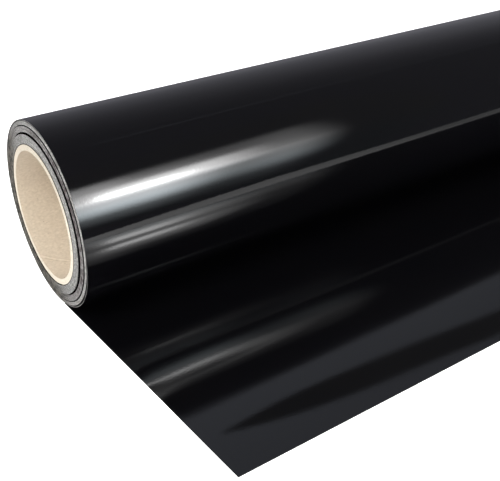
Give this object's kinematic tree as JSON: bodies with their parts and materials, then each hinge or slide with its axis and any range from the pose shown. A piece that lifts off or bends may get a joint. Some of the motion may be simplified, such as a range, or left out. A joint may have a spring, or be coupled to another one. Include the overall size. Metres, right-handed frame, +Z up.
{
  "type": "sign vinyl roll",
  "caption": "Part-used roll of glossy black self-adhesive sign vinyl on a cardboard core, with its free end laid flat and a film edge that peels.",
  "frame": {"origin": "on the core's axis, at the middle of the roll's width", "axes": "+X along the core, +Z up, -Y towards the free sheet's cut edge"},
  "size_m": [0.613, 0.2495, 0.1109],
  "materials": {
    "core_board": "matt kraft board",
    "paper_tape": "matt",
    "wound_edge": "satin cut edges of wound film and liner",
    "vinyl_film": "high gloss",
    "adhesive": "tacky satin",
    "release_liner": "coated paper, satin"
  },
  "bodies": {
    "web": {"lap_film": "vinyl_film", "lap_adhesive": "adhesive", "lap_liner": "release_liner", "nip_film": "vinyl_film", "nip_adhesive": "adhesive", "nip_liner": "release_liner"},
    "roll": {"core_ply_1": "core_board", "core_ply_2": "core_board", "core_ply_3": "core_board", "core_ply_4": "core_board", "core_ply_5": "core_board", "core_ply_6": "core_board", "core_ply_7": "core_board", "start_tape": "paper_tape", "inner_wraps": "wound_edge", "middle_wraps": "wound_edge", "outer_wraps": "wound_edge"},
    "sheet": {"sheet_film": "vinyl_film", "sheet_adhesive": "adhesive", "sheet_liner": "release_liner"},
    "flap": {"flap_film": "vinyl_film", "flap_adhesive": "adhesive"}
  },
  "joints": [
    {"name": "roll_turn", "type": "hinge", "parent": "web", "child": "roll", "pos_m": [0, 0, 0], "axis": [1, 0, 0], "range_deg": [0, 180]},
    {"name": "sheet_feed", "type": "slide", "parent": "web", "child": "sheet", "axis": [0, -1, 0], "range_m": [0, 0.18]},
    {"name": "film_peel", "type": "hinge", "parent": "sheet", "child": "flap", "pos_m": [0, -0.1243, -0.05522], "axis": [-1, 0, 0], "range_deg": [0, 100]}
  ],
  "couplings": [
    {"joint": "sheet_feed", "follows": "roll_turn", "m_per_rad": 0.05536}
  ]
}
